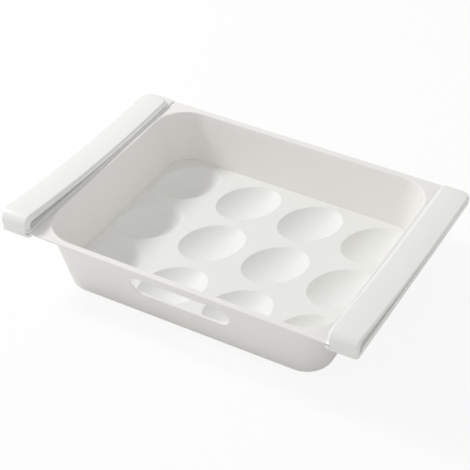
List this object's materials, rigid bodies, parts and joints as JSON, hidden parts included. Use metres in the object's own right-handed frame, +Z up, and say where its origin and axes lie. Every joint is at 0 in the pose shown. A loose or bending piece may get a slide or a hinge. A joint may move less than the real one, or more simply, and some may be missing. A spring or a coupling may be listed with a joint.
{
  "type": "egg storage drawer",
  "caption": "White plastic pull-out egg drawer: a cupped insert in a slant-front tub that slides in two spring-arm rails clipped to a refrigerator shelf.",
  "frame": {"origin": "the middle of the cup grid, on the plane that the drawer stands on", "axes": "+Z up, -Y the front with the finger slot, +X to the right as seen from the front"},
  "size_m": [0.2914, 0.2114, 0.0687],
  "materials": {
    "drawer_plastic": "satin white polypropylene",
    "insert_plastic": "satin white polypropylene",
    "rail_plastic": "smooth white plastic, a little glossier than the drawer"
  },
  "bodies": {
    "rails": {"left_rail": "rail_plastic", "right_rail": "rail_plastic"},
    "drawer": {"drawer_tray": "drawer_plastic"},
    "insert": {"egg_insert": "insert_plastic"}
  },
  "joints": [
    {"name": "drawer_slide", "type": "slide", "parent": "rails", "child": "drawer", "axis": [0, -1, 0], "range_m": [0, 0.15]},
    {"name": "insert_lift", "type": "slide", "parent": "drawer", "child": "insert", "axis": [0, 0, 1], "range_m": [0, 0.07]}
  ]
}
